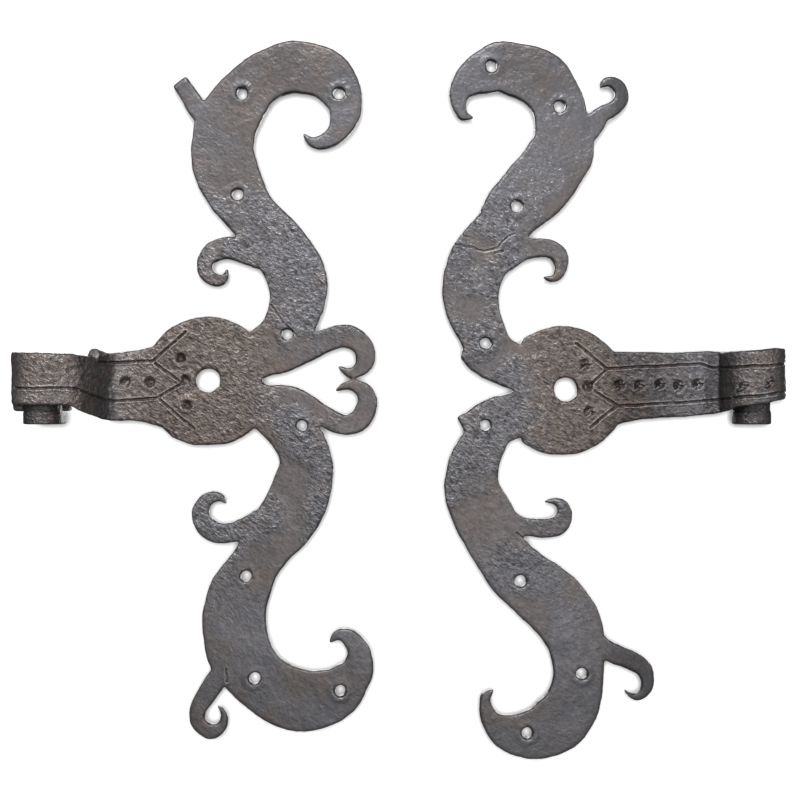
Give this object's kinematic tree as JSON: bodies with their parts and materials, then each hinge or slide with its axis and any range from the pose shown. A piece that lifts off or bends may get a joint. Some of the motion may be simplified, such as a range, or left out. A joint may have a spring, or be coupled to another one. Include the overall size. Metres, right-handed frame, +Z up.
{
  "type": "strap hinge",
  "caption": "Pair of forged strap-hinge leaves with S-shaped horns, curled tendrils and rolled eyes that swing on spiked pintles.",
  "frame": {"origin": "where the left pintle's spike enters the door frame, straight behind the left pin", "axes": "+Z up along the pins, -Y towards the viewer of the front faces, +X from the left pin to the right one"},
  "size_m": [0.3827, 0.0941, 0.3596],
  "materials": {
    "brown_iron": "forged iron, dark brown, rubbed bright on the high spots",
    "grey_iron": "forged iron, dark grey-brown, hammered and pitted",
    "pintle_iron": "forged iron, dark grey, worn smooth on the pin"
  },
  "bodies": {
    "frame_side": {"left_pintle_pin": "pintle_iron", "left_pintle_spike": "pintle_iron", "right_pintle_pin": "pintle_iron", "right_pintle_spike": "pintle_iron"},
    "left_leaf": {"left_plate": "brown_iron", "left_strap": "brown_iron", "left_upper_horn": "grey_iron", "left_lower_horn": "grey_iron", "left_upper_side_tendril": "grey_iron", "left_lower_side_tendril": "grey_iron", "left_upper_tip_stub": "grey_iron", "left_lower_tip_tendril": "grey_iron", "left_upper_heart_curl": "brown_iron", "left_lower_heart_curl": "brown_iron"},
    "right_leaf": {"right_plate": "brown_iron", "right_strap": "brown_iron", "right_upper_horn": "grey_iron", "right_lower_horn": "grey_iron", "right_upper_side_tendril": "grey_iron", "right_lower_side_tendril": "grey_iron", "right_upper_tip_tendril": "grey_iron", "right_lower_tip_tendril": "grey_iron", "right_upper_heart_stump": "brown_iron", "right_lower_heart_stump": "brown_iron"}
  },
  "joints": [
    {"name": "left_leaf_swing", "type": "hinge", "parent": "frame_side", "child": "left_leaf", "pos_m": [0, -0.017, 0.0188], "axis": [0, 0, -1], "range_deg": [0, 170]},
    {"name": "right_leaf_swing", "type": "hinge", "parent": "frame_side", "child": "right_leaf", "pos_m": [0.3512, -0.0035, 0.01405], "axis": [0, 0, 1], "range_deg": [0, 170]}
  ]
}
